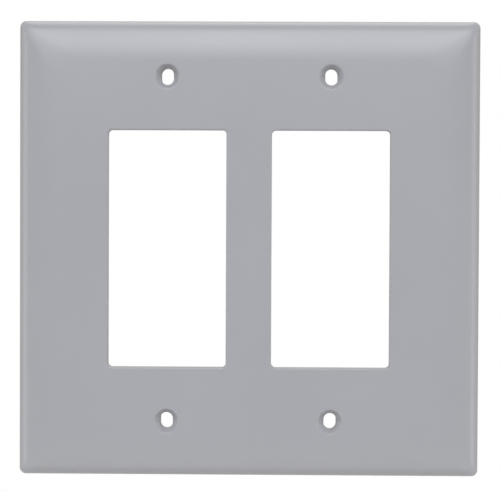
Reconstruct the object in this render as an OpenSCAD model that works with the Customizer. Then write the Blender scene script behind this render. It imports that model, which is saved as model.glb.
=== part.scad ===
// Two-gang decorator wall plate in its mounted position: X runs across, Z is up and
// Y points into the wall. The origin is the centre of the back rim, on the wall.

/* [Plate] */
// Width of the plate with one gang; each further gang adds one gang pitch
one_gang_w = 84.14; // [72:0.01:92]
// Height of the plate
plate_h = 128.59; // [118:0.01:140]
// Depth from the wall to the front face
plate_d = 6.5; // [6:0.1:9]
// Thickness of the moulding
wall_t = 2.4; // [1.6:0.1:2.8]
// Radius of the outside corners, seen from the front
corner_r = 1.8; // [0.8:0.1:3]

/* [Sloped edge] */
// Width of the sloped edge, from the flat of the face to the rim
edge_w = 11.6; // [10:0.1:12]
// Width of the bend where the face turns into the slope
bend_w = 5.4; // [3:0.1:6]
// Width of the round-over where the slope turns down into the rim
round_w = 3; // [2.6:0.1:3.2]
// Angle of the slope where the bend ends
slope_start = 12; // [6:1:14]
// Angle of the slope where the round-over starts
slope_end = 20; // [16:1:22]

/* [Gangs] */
// Number of gangs side by side
gangs = 2; // [1:1:4]
// Distance between the centres of neighbouring gangs
gang_pitch = 46.04; // [45:0.01:48]
// Width of a device opening
opening_w = 33.27; // [32:0.01:35]
// Height of a device opening
opening_h = 66.8; // [64:0.01:70]
// Corner radius of a device opening
opening_r = 1.2; // [0.5:0.1:3]

/* [Screw holes] */
// Height between the upper and the lower screw hole of a gang
screw_pitch = 96.84; // [90:0.01:100]
// Width of a slotted screw hole
slot_w = 3.5; // [3.2:0.1:4.4]
// Length of a slotted screw hole, end to end
slot_l = 4.7; // [4.5:0.1:6]
// Diameter of the countersink at the face
sink_d = 6.9; // [6.6:0.1:8]
// Included angle of the countersink
sink_angle = 82; // [80:1:100]

/* [Back] */
// Space that the bosses, collars and ribs leave for a device strap on the wall
strap_gap = 1.3; // [1:0.1:2]
// Diameter of a screw boss
boss_d = 9; // [8:0.1:11]
// Thickness of the collar round a device opening
collar_t = 1.5; // [1:0.1:2.5]
// Depth of a collar, from the front face
collar_d = 4; // [3.2:0.1:4.6]
// Thickness of a rib
rib_t = 1.2; // [0.8:0.1:2]

/* [Hidden] */
$fn = 96;
plate_w = one_gang_w + (gangs - 1) * gang_pitch;
gang_x = [for (i = [0 : gangs - 1]) (i - (gangs - 1) / 2) * gang_pitch];
between_x = [for (i = [0 : 1 : gangs - 2]) (gang_x[i] + gang_x[i + 1]) / 2];
screw_y = screw_pitch / 2;
face_back = plate_d - wall_t;
root = wall_t / 2;      // how far bosses, collars and ribs run into the moulding
past = 1;               // how far a cut runs past what it cuts
sink_depth = sink_d / 2 / tan(sink_angle / 2);
slope_w = edge_w - bend_w - round_w;
slope_drop = arc_drop(bend_w, 0, slope_start) + arc_drop(slope_w, slope_start, slope_end);
arc_step = 4;           // turn from one point of an outline's arc to the next, in degrees

// Everything below is drawn face up: X across, Y up the plate, Z from the wall to the face.

module rounded_plan(w, h, r) {
    square([w - 2 * r, h], center = true);
    square([w, h - 2 * r], center = true);
    for (x = [-1, 1], y = [-1, 1])
        translate([x * (w / 2 - r), y * (h / 2 - r)]) circle(r);
}

// Points of an arc that starts at [from, down], turns from the angle a0 to a1 below level
// and covers the width w. It is moved inwards by inset, and each point is [outwards, down].
// The start is left out, because it is the last point of whatever comes before the arc.
function arc_radius(w, a0, a1) = w / (sin(a1) - sin(a0));
function arc_drop(w, a0, a1) = arc_radius(w, a0, a1) * (cos(a0) - cos(a1));
function arc_points(from, down, w, a0, a1, inset) =
    let (r = arc_radius(w, a0, a1), steps = ceil((a1 - a0) / arc_step))
    [for (i = [1 : steps])
        let (a = a0 + (a1 - a0) * i / steps)
        [from - r * sin(a0) + (r - inset) * sin(a), down + r * cos(a0) - (r - inset) * cos(a)]];

// The sloped edge of a plate that is size across: bend, slope and round-over
function edge_points(size, inset) = concat(
    [[size / 2 - edge_w, inset]],
    arc_points(size / 2 - edge_w, 0, bend_w, 0, slope_start, inset),
    arc_points(size / 2 - edge_w + bend_w, arc_drop(bend_w, 0, slope_start),
               slope_w, slope_start, slope_end, inset),
    arc_points(size / 2 - round_w, slope_drop, round_w, slope_end, 90, inset));

// Section of the plate across one of its directions, from base up to the face
module crowned_section(size, inset, base) {
    edge = edge_points(size, inset);
    half = concat([[size / 2 - inset, plate_d - base]], [for (i = [len(edge) - 1 : -1 : 0]) edge[i]]);
    polygon(concat([for (p = half) [p[0], plate_d - p[1]]],
                   [for (i = [len(half) - 1 : -1 : 0]) [-half[i][0], plate_d - half[i][1]]]));
}

// The plate's outer shape, moved inwards by inset, with its slopes mitred at the corners
module crowned_body(inset, base = 0) {
    intersection() {
        rotate([90, 0, 0])
            linear_extrude(plate_h, center = true) crowned_section(plate_w, inset, base);
        rotate([90, 0, 90])
            linear_extrude(plate_w, center = true) crowned_section(plate_h, inset, base);
        translate([0, 0, base])
            linear_extrude(plate_d - base)
                rounded_plan(plate_w - 2 * inset, plate_h - 2 * inset,
                             max(corner_r - inset, corner_r / 4));
    }
}

// Wall round a device opening, behind the face
module collar(x) {
    translate([x, 0, plate_d - collar_d])
        linear_extrude(collar_d - root)
            rounded_plan(opening_w + 2 * collar_t, opening_h + 2 * collar_t, opening_r + collar_t);
}

// Round post behind a screw hole, which stops short of the device strap
module boss(x, y) {
    translate([x, y, strap_gap]) cylinder(d = boss_d, h = face_back + root - strap_gap);
}

// A rib from the centre [x, y] of its footprint
module rib(x, y, w, h) {
    translate([x - w / 2, y - h / 2, strap_gap]) cube([w, h, face_back + root - strap_gap]);
}

// One rib across each row of screws, one from each collar to the skirt above and below it,
// and one between neighbouring gangs
module ribs() {
    collar_top = opening_h / 2 + collar_t / 2;
    upright = plate_h / 2 - collar_top;
    intersection() {
        crowned_body(root);
        union() {
            for (side = [-1, 1]) {
                rib(0, side * screw_y, plate_w, rib_t);
                for (x = gang_x) rib(x, side * (collar_top + upright / 2), rib_t, upright);
            }
            for (x = between_x) rib(x, 0, rib_t, screw_pitch);
        }
    }
}

// Cut for a device opening
module opening(x) {
    translate([x, 0, -past])
        linear_extrude(plate_d + 2 * past) rounded_plan(opening_w, opening_h, opening_r);
}

// Cut for a screw hole: an upright slot and the countersink over it
module screw_slot(x, y) {
    straight = slot_l - slot_w;
    translate([x, y, -past]) {
        for (side = [-1, 1])
            translate([0, side * straight / 2, 0]) cylinder(d = slot_w, h = plate_d + 2 * past);
        translate([-slot_w / 2, -straight / 2, 0]) cube([slot_w, straight, plate_d + 2 * past]);
    }
    translate([x, y, plate_d - sink_depth])
        cylinder(d1 = 0, d2 = sink_d * (1 + past / sink_depth), h = sink_depth + past);
}

module wall_plate() {
    color([0.65, 0.65, 0.68])
        rotate([90, 0, 0])
            difference() {
                union() {
                    difference() {
                        crowned_body(0);
                        crowned_body(wall_t, -past);
                    }
                    for (x = gang_x) {
                        collar(x);
                        for (side = [-1, 1]) boss(x, side * screw_y);
                    }
                    ribs();
                }
                for (x = gang_x) {
                    opening(x);
                    for (side = [-1, 1]) screw_slot(x, side * screw_y);
                }
            }
}

wall_plate();
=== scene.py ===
import math

import bmesh
import bpy
import numpy as np
from mathutils import Matrix, Vector
from mathutils.geometry import delaunay_2d_cdt


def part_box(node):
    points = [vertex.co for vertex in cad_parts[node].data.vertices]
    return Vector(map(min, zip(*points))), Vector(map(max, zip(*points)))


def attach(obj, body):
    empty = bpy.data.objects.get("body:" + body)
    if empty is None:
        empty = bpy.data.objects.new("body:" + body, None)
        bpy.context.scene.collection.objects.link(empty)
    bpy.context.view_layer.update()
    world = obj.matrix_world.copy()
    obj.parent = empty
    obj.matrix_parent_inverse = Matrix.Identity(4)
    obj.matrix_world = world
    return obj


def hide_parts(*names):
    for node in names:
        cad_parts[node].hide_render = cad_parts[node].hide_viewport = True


# A two-gang wall plate, upright as it is mounted: X across, Z up, Y into the wall.
# Its surfaces are worked out in millimetres as x, z and height, where height is
# measured from the wall towards the room, and go into the mesh in metres.

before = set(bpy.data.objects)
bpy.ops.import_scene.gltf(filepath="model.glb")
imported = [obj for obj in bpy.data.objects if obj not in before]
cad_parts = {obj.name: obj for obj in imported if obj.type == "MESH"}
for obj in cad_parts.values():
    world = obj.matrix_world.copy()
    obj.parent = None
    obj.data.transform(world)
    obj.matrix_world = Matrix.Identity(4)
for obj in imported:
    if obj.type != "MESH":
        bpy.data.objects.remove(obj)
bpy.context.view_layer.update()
low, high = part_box("wall_plate")
mm = 0.001

plate = {
    "width": (high.x - low.x) / mm,
    "height": (high.z - low.z) / mm,
    "depth": (high.y - low.y) / mm,
    "wall": 2.4,
    "gangPitch": 46.04,
    "screwPitch": 96.84,
    "cornerSteps": 12,        # steps round each corner of an outline
    "latticeStep": 5.0,       # spacing of the points inside the front and the back
    "frontClear": 1.0,        # how far those points keep from the outlines on the front
    "backClear": 0.8,         # and on the back
    "guard": 0.3,             # flat strip kept beside every hole's rounded edge
    "snap": 1e-5,             # crossing lines this close share a point
    "weld": 0.002,            # points this close become one
    "sharpAngle": 32,         # edges that turn by more than this stay sharp
}
halfW, halfH = plate["width"] / 2, plate["height"] / 2
gangs = [-plate["gangPitch"] / 2, plate["gangPitch"] / 2]
screwZ = plate["screwPitch"] / 2
screws = [(x, side * screwZ) for x in gangs for side in (-1, 1)]


def arcRun(width, a0, a1, steps):
    # Arc that covers the width while it turns from a0 to a1 degrees below level. Its
    # radius is width / (sin a1 - sin a0). Returns the way out, the drop and the angle.
    a = np.radians(np.linspace(a0, a1, steps + 1))
    radius = width / (np.sin(a[-1]) - np.sin(a[0]))
    return radius * (np.sin(a) - np.sin(a[0])), radius * (np.cos(a[0]) - np.cos(a)), a


def topRound(radius, steps=5):
    # Quarter circle that turns from level down to upright: distance out, height lost
    t = np.radians(np.linspace(0, 90, steps + 1))
    return np.stack([radius * (1 - np.sin(t)), -radius * (1 - np.cos(t))], 1)


def footRound(radius, steps=3):
    # Quarter circle that turns from upright to level: distance out, height left
    t = np.radians(np.linspace(0, 90, steps + 1))
    return np.stack([radius * (1 - np.cos(t)), radius * (1 - np.sin(t))], 1)


def roundedRectangle(centre, half, radius, sideSteps):
    # Counter-clockwise: four quarter circles joined by straight sides. Outlines with
    # the same side steps match point for point.
    corners = [(1, 1), (-1, 1), (-1, -1), (1, -1), (1, 1)]
    points = []
    for quarter in range(4):
        a = np.radians(np.linspace(0, 90, plate["cornerSteps"] + 1) + 90 * quarter)
        turn = np.stack([np.cos(a), np.sin(a)], 1) * radius
        here, after = (np.array(centre) + np.array(c) * (np.array(half) - radius)
                       for c in corners[quarter:quarter + 2])
        t = np.linspace(0, 1, sideSteps[quarter % 2] + 1)[1:-1, None]
        points += [here + turn, (here + turn[-1]) * (1 - t) + (after + turn[-1]) * t]
    return np.concatenate(points)


def boxDistance(x, z, centre, half, radius=0.0):
    # Signed distance to a rectangle with rounded corners, below zero inside it
    qx = np.abs(x - centre[0]) - half[0] + radius
    qz = np.abs(z - centre[1]) - half[1] + radius
    outside = np.hypot(np.maximum(qx, 0), np.maximum(qz, 0))
    return outside + np.minimum(np.maximum(qx, qz), 0) - radius


def closed(points):
    # The first point again at the end
    return np.concatenate([points, points[:1]])


# A part of a mesh is its points (x, z, height) and its faces.

def raised(outline, height):
    # Points of a flat outline, each lifted to its height
    return np.column_stack([outline, np.broadcast_to(height, len(outline))])


def band(rows):
    # Grid of rows round a closed outline, each row an array of (x, z, height)
    grid = np.stack(rows)
    m, n = grid.shape[:2]
    i, j = np.meshgrid(np.arange(m - 1), np.arange(n), indexing="ij")
    k = (j + 1) % n
    quads = np.stack([i * n + j, i * n + k, (i + 1) * n + k, (i + 1) * n + j], -1)
    return grid.reshape(-1, 3), quads.reshape(-1, 4)


def sheet(loops, lines, spots, heightOf, isSolid):
    # Surface between closed loops. The triangles keep to the lines and use the spots.
    # Those whose middle isn't solid are left out, and heightOf gives every height.
    parts = loops + lines + [spots]
    starts = np.cumsum([0] + [len(p) for p in parts])
    edges = []
    for i, part in enumerate(parts[:-1]):
        n = len(part)
        here = np.arange(n if i < len(loops) else n - 1)
        edges.append(np.stack([here, (here + 1) % n], 1) + starts[i])
    flat = list(map(Vector, np.concatenate(parts).tolist()))
    cut = delaunay_2d_cdt(flat, np.concatenate(edges).tolist(), [], 0, plate["snap"])
    points = np.array([tuple(p) for p in cut[0]])
    faces = np.array(cut[2])
    middle = points[faces].mean(1)
    faces = faces[isSolid(middle[:, 0], middle[:, 1])]
    return raised(points, heightOf(points[:, 0], points[:, 1])), faces


def lattice(isFree):
    # Even grid of points over the whole plate, kept where isFree says so
    nx, nz = (int(2 * h / plate["latticeStep"]) for h in (halfW, halfH))
    x, z = np.meshgrid(np.linspace(-halfW, halfW, nx + 1), np.linspace(-halfH, halfH, nz + 1))
    keep = isFree(x, z)
    return np.stack([x[keep], z[keep]], 1)


def buildPiece(name, parts):
    # One mesh of all the parts, from (x, z, height) to (x, -height, z), welded where
    # they meet and turned to face outwards
    points = np.concatenate([p for p, _ in parts])
    points = np.stack([points[:, 0], -points[:, 2], points[:, 1]], 1) * mm
    faces, start = [], 0
    for p, f in parts:
        faces += (f + start).tolist()
        start += len(p)
    mesh = bpy.data.meshes.new(name)
    mesh.from_pydata(points.tolist(), [], faces)
    work = bmesh.new()
    work.from_mesh(mesh)
    bmesh.ops.remove_doubles(work, verts=work.verts, dist=plate["weld"] * mm)
    loose = [v for v in work.verts if not v.link_faces]
    bmesh.ops.delete(work, geom=loose, context="VERTS")
    bmesh.ops.recalc_face_normals(work, faces=work.faces)
    unclosed = sum(not e.is_manifold for e in work.edges)
    work.to_mesh(mesh)
    work.free()
    mesh.shade_smooth()
    mesh.set_sharp_from_angle(angle=math.radians(plate["sharpAngle"]))
    piece = bpy.data.objects.new(name, mesh)
    bpy.context.scene.collection.objects.link(piece)
    print(f"{name}: {len(mesh.polygons)} faces, {unclosed} edges not closed")
    return piece


slope = {
    "width": 11.6,            # from the flat of the face out to the rim
    "bend": 5.4,              # width of the bend from the face into the slope
    "round": 3.0,             # width of the round-over from the slope down into the rim
    "startAngle": 12.0,       # of the slope, where the bend ends
    "endAngle": 20.0,         # of the slope, where the round-over starts
    "steps": (9, 5, 14),      # along the bend, the slope and the round-over
    "cornerRadius": 1.8,      # of the rim, seen from the front
    "cornerGrowth": 0.35,     # how fast the mitres soften on the way up the slope
    "rimEdge": 0.2,           # rounding of the rim's outer and inner edge
    "sideSteps": (48, 48),
}


def slopeSection(inset):
    # Section of the sloped edge: a bend, a slope and a round-over, each an arc that
    # starts where the last one ends, all moved inwards by inset along their normals.
    # Each row is the distance in from the rim and the height.
    widths = (slope["bend"], slope["width"] - slope["bend"] - slope["round"], slope["round"])
    angles = (0.0, slope["startAngle"], slope["endAngle"], 90.0)
    rows, out, drop = [], 0.0, 0.0
    for i, width in enumerate(widths):
        o, d, a = arcRun(width, angles[i], angles[i + 1], slope["steps"][i])
        distance = slope["width"] - (out + o) + inset * np.sin(a)
        height = plate["depth"] - (drop + d) - inset * np.cos(a)
        rows.append(np.stack([distance, height], 1)[1 if rows else 0:])
        out, drop = out + o[-1], drop + d[-1]
    return np.concatenate(rows)


def plateOutline(inset, radius):
    # The plate's outline moved inwards, with its own corner radius
    half = (halfW - inset, halfH - inset)
    return roundedRectangle((0, 0), half, radius, slope["sideSteps"])


def insetOf(x, z, radius, growth):
    # Distance in from the plate's outline, where the outline's corner radius grows as
    # it moves in: the root s of (c - u)^2 + (c - v)^2 = r^2, with r = radius + growth s,
    # c = s + r, and u and v the distances to the two nearest sides.
    u, v = halfW - np.abs(x), halfH - np.abs(z)
    qa = 2 * (1 + growth) ** 2 - growth ** 2
    qb = 2 * (1 + growth) * (2 * radius - u - v) - 2 * growth * radius
    qc = (radius - u) ** 2 + (radius - v) ** 2 - radius ** 2
    root = qb * qb - 4 * qa * qc
    s = (-qb + np.sqrt(np.maximum(root, 0))) / (2 * qa)
    inCorner = (root >= 0) & (s * (1 + growth) + radius > np.maximum(u, v))
    return np.where(inCorner, s, np.minimum(u, v))


def edgeBand():
    # From the flat of the face down the slope, round the rim and across it to the skirt
    edge, wall = slope["rimEdge"], plate["wall"]
    front = slopeSection(0)
    outer = footRound(edge)
    inner = [wall, 0] - topRound(edge)
    section = np.concatenate([front, outer, inner])
    radii = np.concatenate([slope["cornerRadius"] + slope["cornerGrowth"] * front[:, 0],
                            slope["cornerRadius"] - outer[:, 0],
                            back["skirtRadius"] + wall - inner[:, 0]])
    return band([raised(plateOutline(s, r), h) for (s, h), r in zip(section, radii)])


opening = {
    "width": 33.27,
    "height": 66.80,
    "radius": 1.2,
    "edge": 0.3,              # rounding of its edge on the face
    "backEdge": 0.15,         # and at the end of its collar
    "sideSteps": (12, 24),
}


def openingOutline(x, grow):
    # Outline of the opening at x, moved outwards by grow
    half = (opening["width"] / 2 + grow, opening["height"] / 2 + grow)
    return roundedRectangle((x, 0), half, opening["radius"] + grow, opening["sideSteps"])


def openingDistance(x, z):
    # Signed distance to the nearest opening
    half = (opening["width"] / 2, opening["height"] / 2)
    return np.minimum.reduce([boxDistance(x, z, (g, 0), half, opening["radius"]) for g in gangs])


def openingBand(x):
    # From the face over the edge of an opening and down its wall to the end of the collar
    edge, depth = opening["edge"], plate["depth"]
    section = np.concatenate([[[edge + plate["guard"], depth]], topRound(edge) + [0, depth],
                              footRound(opening["backEdge"]) + [0, collarLevel]])
    return band([raised(openingOutline(x, s), h) for s, h in section])


screwHole = {
    "width": 3.5,
    "length": 4.7,
    "sink": 6.9,              # diameter of the countersink at the face
    "sinkAngle": 82.0,
    "sinkEdge": 0.4,          # rounding of the countersink's edge on the face
    "edge": 0.12,             # of the slot's edge in the countersink
    "backEdge": 0.15,         # and of its edge at the end of the boss
    "points": 64,             # round the hole
    "steps": (5, 6, 4),       # along the countersink's edge, its cone and the slot's edge
}
coneAngle = math.radians(90 - screwHole["sinkAngle"] / 2)
coneStart = screwHole["sink"] / 2 + screwHole["sinkEdge"] * math.tan(coneAngle / 2)
tiny = 1e-9                   # keeps a division away from zero


def polar(centre, radii, count=screwHole["points"]):
    # Closed outline round a centre, with a radius for each of its even angles
    a = np.linspace(0, 2 * np.pi, count, endpoint=False)
    return np.stack([centre[0] + radii * np.cos(a), centre[1] + radii * np.sin(a)], 1)


def slotRadii(grow):
    # Upright slot in polar form: the side x = r where the ray meets it between the two
    # end centres, otherwise the far crossing with the end circle round (0, m).
    a = np.linspace(0, 2 * np.pi, screwHole["points"], endpoint=False)
    c, s = np.abs(np.cos(a)), np.abs(np.sin(a))
    r = screwHole["width"] / 2 + grow
    m = (screwHole["length"] - screwHole["width"]) / 2
    side = r / np.maximum(c, tiny)
    end = m * s + np.sqrt(np.maximum(r * r - (m * c) ** 2, 0))
    return np.where(r * s <= m * c, side, end)


def slotDistance(x, z):
    # Signed distance to the nearest slot
    half = (screwHole["width"] / 2, screwHole["length"] / 2)
    return np.minimum.reduce([boxDistance(x, z, c, half, screwHole["width"] / 2) for c in screws])


def screwDistance(x, z):
    # Distance to the centre of the nearest screw hole
    return np.minimum.reduce([np.hypot(x - cx, z - cz) for cx, cz in screws])


def coneHeight(radii):
    # Height of the countersink's cone, which meets the face at the radius sink / 2
    return plate["depth"] - (screwHole["sink"] / 2 - radii) * math.tan(coneAngle)


def screwBand(centre):
    # From the face into the countersink, down the cone, over the slot's edge and down
    # its wall to the end of the boss. The cone's rows run from a circle to the slot.
    sinkSteps, coneSteps, edgeSteps = screwHole["steps"]
    steepness = math.degrees(coneAngle)
    around = np.ones(screwHole["points"])
    out, drop, _ = arcRun(screwHole["sinkEdge"] * math.sin(coneAngle), 0, steepness, sinkSteps)
    rows = [(around * (coneStart + plate["guard"]), plate["depth"])]
    rows += [(around * (coneStart - o), plate["depth"] - d) for o, d in zip(out, drop)]
    circle, slot = rows[-1][0], slotRadii(screwHole["edge"])
    for t in np.linspace(0, 1, coneSteps + 1)[1:]:
        radii = circle * (1 - t) + slot * t
        rows.append((radii, coneHeight(radii)))
    out, drop, _ = arcRun(screwHole["edge"], steepness, 90, edgeSteps)
    rows += [(slotRadii(screwHole["edge"] - o), coneHeight(slot) - d)
             for o, d in zip(out[1:], drop[1:])]
    rows += [(slotRadii(s), back["strapGap"] + h) for s, h in footRound(screwHole["backEdge"])]
    return band([raised(polar(centre, radii), h) for radii, h in rows])


def frontSheet():
    # The flat of the face, between the slope, the openings and the countersinks
    inset, reach = slope["width"], opening["edge"] + plate["guard"]
    screwReach = coneStart + plate["guard"]
    radius = slope["cornerRadius"] + slope["cornerGrowth"] * inset

    def isSolid(x, z, clear=0.0):
        return ((insetOf(x, z, slope["cornerRadius"], slope["cornerGrowth"]) > inset + clear)
                & (openingDistance(x, z) > reach + clear)
                & (screwDistance(x, z) > screwReach + clear))

    loops = [plateOutline(inset, radius)] + [openingOutline(x, reach) for x in gangs]
    loops += [polar(c, screwReach) for c in screws]
    spots = lattice(lambda x, z: isSolid(x, z, plate["frontClear"]))
    return sheet(loops, [], spots, lambda x, z: np.full(len(x), plate["depth"]), isSolid)


back = {
    "collar": 1.5,            # thickness of the collar round an opening
    "collarDepth": 4.0,       # of its end, from the face
    "boss": 9.0,              # diameter of a boss behind a screw hole
    "rib": 1.2,
    "strapGap": 1.3,          # left free between the wall and the bosses and ribs
    "skirtRadius": 0.8,       # inside corners of the skirt, at the wall
    "skirtGrowth": 0.5,       # how fast they grow on the way in
    "skirtFoot": 0.05,        # the hollow's section starts this far in from the skirt
    "footOut": (-0.12, 0.0, 0.1, 0.2, 0.4),     # steps outwards over a collar, boss or rib's side
    "footGone": (0.0, 0.03, 0.88, 0.96, 1.0),   # share of its height that is gone at each
    "ribClear": 0.1,          # between a rib's foot line and the skirt
    "ribStep": 1.5,           # spacing of the points along it
    "pinMark": 2.2,           # radius of an ejector pin's mark
    "pinDepth": 0.15,
    "pinEdge": 0.15,          # width of its sloping edge
    "pinPoints": 24,
    "sidePins": (50.0, 38.0),   # x of the marks beside the openings, and the z they reach
    "endPins": (9.0, 54.0),     # x and z of the marks above and below them
}
collarLevel = plate["depth"] - back["collarDepth"]
bossHold = back["boss"] / 2 - plate["guard"]   # rib lines inside this radius are left out
skirtRadius = back["skirtRadius"] - back["skirtGrowth"] * plate["wall"]

sideX, sideZ = back["sidePins"]
endX, endZ = back["endPins"]
pinMarks = ([(a * sideX, b * sideZ) for a in (-1, 1) for b in (-1, 0, 1)]
            + [(a * endX, b * endZ) for a in (-1, 1) for b in (-1, 1)])

# Each rib is a centre and half sizes: across the screws, from the collars to the
# skirt above and below, and between the gangs.
collarEnd = opening["height"] / 2 + back["collar"] / 2
uprightRib = (halfH - collarEnd) / 2
ribs = ([((0, side * screwZ), (halfW, back["rib"] / 2)) for side in (-1, 1)]
        + [((x, side * (collarEnd + uprightRib)), (back["rib"] / 2, uprightRib))
           for x in gangs for side in (-1, 1)]
        + [((0, 0), (back["rib"] / 2, screwZ))])

# The hollow's section from the skirt inwards, as distance in from the rim and height
hollow = slopeSection(plate["wall"])[::-1]
hollow = hollow[hollow[:, 0] > plate["wall"] + back["skirtFoot"]]
hollow = np.concatenate([[[plate["wall"], slope["rimEdge"]]], hollow])


def backHeight(x, z):
    # The hollow follows the slope's section, moved in by the wall. Collars, bosses and
    # ribs stand up from it towards the wall, each with the same foot, and the lowest of
    # all heights counts. Ejector pins leave shallow round marks.
    level = np.interp(insetOf(x, z, skirtRadius, back["skirtGrowth"]), hollow[:, 0], hollow[:, 1])
    walls = [(openingDistance(x, z) - back["collar"], collarLevel),
             (screwDistance(x, z) - back["boss"] / 2, back["strapGap"])]
    walls += [(boxDistance(x, z, centre, half), back["strapGap"]) for centre, half in ribs]
    for distance, top in walls:
        gone = np.interp(distance, back["footOut"], back["footGone"])
        level = np.minimum(level, top + (level - top) * gone)
    for px, pz in pinMarks:
        inside = np.hypot(x - px, z - pz) - back["pinMark"]
        level = level + back["pinDepth"] * np.interp(inside, [-back["pinEdge"], 0], [1, 0])
    return level


def ribLines(centre, half, grow):
    # Outline of a rib's foot, kept clear of the skirt and left out where a boss holds it
    limit = np.array([halfW, halfH]) - plate["wall"] - back["ribClear"]
    a, b = (np.clip(np.array(centre) + side * (np.array(half) + grow), -limit, limit)
            for side in (-1, 1))
    corners = [(a[0], a[1]), (b[0], a[1]), (b[0], b[1]), (a[0], b[1]), (a[0], a[1])]
    points = []
    for p, q in zip(corners, corners[1:]):
        steps = max(1, round(math.dist(p, q) / back["ribStep"]))
        t = np.linspace(0, 1, steps + 1)[:-1, None]
        points.append(np.array(p) * (1 - t) + np.array(q) * t)
    points = closed(np.concatenate(points))
    free = screwDistance(points[:, 0], points[:, 1]) > bossHold
    runs = np.split(points, np.flatnonzero(np.diff(free)) + 1)
    return [run for run in runs if len(run) > 1 and screwDistance(*run[0]) > bossHold]


def backSheet():
    # The hollow back with its collars, bosses and ribs, as one sheet of heights
    openingReach, slotReach = opening["backEdge"], screwHole["backEdge"]

    def isSolid(x, z, clear=0.0):
        return ((insetOf(x, z, skirtRadius, back["skirtGrowth"]) > plate["wall"] + clear)
                & (openingDistance(x, z) > openingReach + clear)
                & (slotDistance(x, z) > slotReach + clear))

    loops = [plateOutline(plate["wall"], back["skirtRadius"])]
    loops += [openingOutline(x, openingReach) for x in gangs]
    loops += [polar(c, slotRadii(slotReach)) for c in screws]
    lines = [closed(plateOutline(s, skirtRadius + back["skirtGrowth"] * s)) for s, _ in hollow[1:]]
    for grow in back["footOut"]:
        lines += [closed(openingOutline(x, back["collar"] + grow)) for x in gangs]
        lines += [closed(polar(c, back["boss"] / 2 + grow)) for c in screws]
        for centre, half in ribs:
            lines += ribLines(centre, half, grow)
    for mark in pinMarks:
        for radius in (back["pinMark"], back["pinMark"] - back["pinEdge"]):
            lines.append(closed(polar(mark, radius, back["pinPoints"])))
    spots = lattice(lambda x, z: isSolid(x, z, plate["backClear"]))
    return sheet(loops, lines, spots, backHeight, isSolid)


parts = [edgeBand(), frontSheet(), backSheet()]
parts += [openingBand(x) for x in gangs] + [screwBand(c) for c in screws]
cover = buildPiece("plate_moulding", parts)
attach(cover, "root")
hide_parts("wall_plate")

plastic = {
    "colour": (0.378, 0.378, 0.394),
    "shade": (0.362, 0.362, 0.378),   # the darker tone of the cloudy pattern
    "gloss": (0.38, 0.45),            # roughness of the satin front, which follows the cloud
    "glossCloud": (0.3, 0.7),         # part of the cloud's range that it follows
    "backGloss": 0.58,                # roughness of the matt side towards the wall
    "backFacing": (0.3, 0.7),         # the normal's Y where that side starts and is full
    "ior": 1.58,                      # polycarbonate
    "cloud": {"scale": 22.0, "detail": 3.0},
    "flow": {"scale": 55.0, "detail": 1.0},      # long soft waves of the moulded surface
    "flowDepth": 0.00004,
    "spark": {"scale": 900.0, "detail": 2.0},    # coarser spark-eroded grain of the back
    "sparkDepth": 0.00005,
    "grain": {"scale": 2600.0, "detail": 2.0, "roughness": 0.6},   # fine satin grain
    "grainDepth": 0.000012,
}


def noiseOf(nodes, links, place, scale, detail, roughness=0.5):
    # Output of a noise on Object coordinates
    noise = nodes.new("ShaderNodeTexNoise")
    noise.inputs["Scale"].default_value = scale
    noise.inputs["Detail"].default_value = detail
    noise.inputs["Roughness"].default_value = roughness
    links.new(place.outputs["Object"], noise.inputs["Vector"])
    return noise.outputs["Fac"]


def rangeOf(nodes, links, value, start, end, toStart=0.0, toEnd=1.0):
    # Output that runs from toStart to toEnd as the value runs from start to end
    spread = nodes.new("ShaderNodeMapRange")
    limits = {"From Min": start, "From Max": end, "To Min": toStart, "To Max": toEnd}
    for name, limit in limits.items():
        spread.inputs[name].default_value = limit
    links.new(value, spread.inputs["Value"])
    return spread.outputs["Result"]


def bumpOf(nodes, links, height, depth, normal=None, strength=None):
    # Normal bent by a height, on top of an earlier bump's normal
    bump = nodes.new("ShaderNodeBump")
    bump.inputs["Distance"].default_value = depth
    links.new(height, bump.inputs["Height"])
    if normal is not None:
        links.new(normal, bump.inputs["Normal"])
    if strength is not None:
        links.new(strength, bump.inputs["Strength"])
    return bump.outputs["Normal"]


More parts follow.
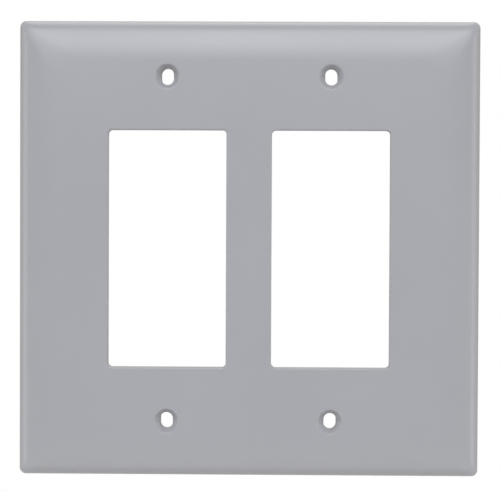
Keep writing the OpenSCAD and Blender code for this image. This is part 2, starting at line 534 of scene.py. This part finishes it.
def satinPlastic():
    # Moulded plastic. One slow noise makes tone and gloss cloudy. Surfaces that face the
    # wall, where the normal points along Y, are matt. The bump is long soft waves, then
    # the coarse grain of the back, then the fine grain of every surface.
    material = bpy.data.materials.new("satinPlastic")
    material.use_nodes = True
    nodes, links = material.node_tree.nodes, material.node_tree.links
    shader = nodes["Principled BSDF"]
    shader.inputs["IOR"].default_value = plastic["ior"]
    place = nodes.new("ShaderNodeTexCoord")
    facing = nodes.new("ShaderNodeSeparateXYZ")
    links.new(place.outputs["Normal"], facing.inputs[0])
    towardsWall = rangeOf(nodes, links, facing.outputs["Y"], *plastic["backFacing"])
    cloud, flow, spark, grain = (noiseOf(nodes, links, place, **plastic[name])
                                 for name in ("cloud", "flow", "spark", "grain"))

    # A colour mix has its colours at inputs 6 and 7 and its result at output 2
    tone = nodes.new("ShaderNodeMix")
    tone.data_type = "RGBA"
    tone.inputs[6].default_value = (*plastic["shade"], 1)
    tone.inputs[7].default_value = (*plastic["colour"], 1)
    links.new(cloud, tone.inputs[0])
    links.new(tone.outputs[2], shader.inputs["Base Color"])

    # A number mix has its numbers at inputs 2 and 3 and its result at output 0
    gloss = nodes.new("ShaderNodeMix")
    frontGloss = rangeOf(nodes, links, cloud, *plastic["glossCloud"], *plastic["gloss"])
    links.new(towardsWall, gloss.inputs[0])
    links.new(frontGloss, gloss.inputs[2])
    gloss.inputs[3].default_value = plastic["backGloss"]
    links.new(gloss.outputs[0], shader.inputs["Roughness"])

    waves = bumpOf(nodes, links, flow, plastic["flowDepth"])
    coarse = bumpOf(nodes, links, spark, plastic["sparkDepth"], waves, towardsWall)
    fine = bumpOf(nodes, links, grain, plastic["grainDepth"], coarse)
    links.new(fine, shader.inputs["Normal"])
    return material


cover.data.materials.append(satinPlastic())
print("plastic ready")

room = {
    "floorDrop": 0.085,               # from the plate's bottom edge to the floor
    "floorRadius": 0.30,
    "floorPoints": 96,
    "floorColour": (0.85, 0.85, 0.85),
    "white": 1.0,                     # the world as the camera sees it
    "front": 0.06,                    # its light from in front of the plate
    "behind": 0.60,                   # and from behind it
    "soft": 0.15,                     # how gradually one turns into the other
    "glow": (1.0, 0.945, 0.88),       # colour of that light
}


def addFloor():
    # Flat disc: a ring of points round one centre
    count = room["floorPoints"]
    a = np.linspace(0, 2 * np.pi, count, endpoint=False)
    ring = np.stack([np.cos(a), np.sin(a), a * 0], 1) * room["floorRadius"]
    points = np.concatenate([[[0, 0, 0]], ring]) + [0, 0, low.z - room["floorDrop"]]
    i = np.arange(count)
    faces = np.stack([i * 0, i + 1, (i + 1) % count + 1], 1)
    mesh = bpy.data.meshes.new("floor")
    mesh.from_pydata(points.tolist(), [], faces.tolist())
    floor = bpy.data.objects.new("floor", mesh)
    bpy.context.scene.collection.objects.link(floor)
    material = bpy.data.materials.new("paleFloor")
    material.use_nodes = True
    shader = material.node_tree.nodes["Principled BSDF"]
    shader.inputs["Base Color"].default_value = (*room["floorColour"], 1)
    mesh.materials.append(material)


def addWorld():
    # Seen directly it is plain white. Its light is dim in front of the plate, where the
    # room is, and bright behind it, like a lit backdrop.
    world = bpy.data.worlds.new("room")
    bpy.context.scene.world = world
    world.use_nodes = True
    nodes, links = world.node_tree.nodes, world.node_tree.links
    nodes.clear()
    out = nodes.new("ShaderNodeOutputWorld")
    mix = nodes.new("ShaderNodeMixShader")
    seen = nodes.new("ShaderNodeBackground")
    unseen = nodes.new("ShaderNodeBackground")
    ray = nodes.new("ShaderNodeLightPath")
    direction = nodes.new("ShaderNodeTexCoord")
    axes = nodes.new("ShaderNodeSeparateXYZ")
    links.new(direction.outputs["Generated"], axes.inputs[0])
    brightness = rangeOf(nodes, links, axes.outputs["Y"],
                         -room["soft"], room["soft"], room["front"], room["behind"])
    links.new(brightness, unseen.inputs["Strength"])
    unseen.inputs["Color"].default_value = (*room["glow"], 1)
    seen.inputs["Color"].default_value = (1, 1, 1, 1)
    seen.inputs["Strength"].default_value = room["white"]
    links.new(ray.outputs["Is Camera Ray"], mix.inputs[0])
    links.new(unseen.outputs[0], mix.inputs[1])
    links.new(seen.outputs[0], mix.inputs[2])
    links.new(mix.outputs[0], out.inputs["Surface"])


lights = {
    "softbox": {"place": (0.0, -0.90, 0.63), "size": (1.2, 0.62),
                "power": 13.0, "colour": (0.93, 0.955, 1.0)},
    "leftStrip": {"place": (-0.68, -0.16, 0.0), "size": (0.3, 0.6),
                  "power": 1.35, "colour": (1.0, 1.0, 1.0)},
    "rightStrip": {"place": (0.68, -0.16, 0.0), "size": (0.3, 0.6),
                   "power": 1.35, "colour": (1.0, 1.0, 1.0)},
    "rearSoftbox": {"place": (0.0, 0.36, 0.75), "size": (0.6, 0.3),
                    "power": 1.6, "colour": (1.0, 1.0, 1.0)},
}


def addLight(name, place, size, power, colour):
    # Rectangular lamp that points at the plate's centre and isn't seen itself
    data = bpy.data.lights.new(name, "AREA")
    data.shape = "RECTANGLE"
    data.size, data.size_y = size
    data.energy = power
    data.color = colour
    lamp = bpy.data.objects.new(name, data)
    bpy.context.scene.collection.objects.link(lamp)
    lamp.location = place
    lamp.visible_camera = False
    lamp.rotation_euler = (-Vector(place)).to_track_quat("-Z", "Y").to_euler()


addFloor()
addWorld()
for name, settings in lights.items():
    addLight(name, **settings)
print("room ready")

view = {
    "distance": 0.5,
    "lens": 126.65,
    "sensor": 36,
    "clip": 0.01,
    "tilt": 1.34,             # turns of the plate as the camera sees it, in degrees
    "turn": -0.87,
    "roll": 0.25,
    "offset": (-0.26, -0.78),   # of the plate from the middle of the view, in millimetres
}


def addCamera():
    # The turns are those of the plate, so the camera gets their inverse
    data = bpy.data.cameras.new("camera")
    data.sensor_width = view["sensor"]
    data.lens = view["lens"]
    data.clip_start = view["clip"]
    camera = bpy.data.objects.new("camera", data)
    bpy.context.scene.collection.objects.link(camera)
    turn = (Matrix.Rotation(math.radians(view["roll"]), 3, "Y")
            @ Matrix.Rotation(math.radians(view["tilt"]), 3, "X")
            @ Matrix.Rotation(math.radians(view["turn"]), 3, "Z")).transposed()
    x, z = view["offset"]
    place = turn @ Vector((-x * mm, -view["distance"], -z * mm))
    upright = Matrix.Rotation(math.radians(90), 3, "X")
    camera.matrix_world = Matrix.Translation(place) @ (turn @ upright).to_4x4()
    bpy.context.scene.camera = camera


addCamera()
bpy.context.scene.view_settings.view_transform = "Standard"
print("camera ready")
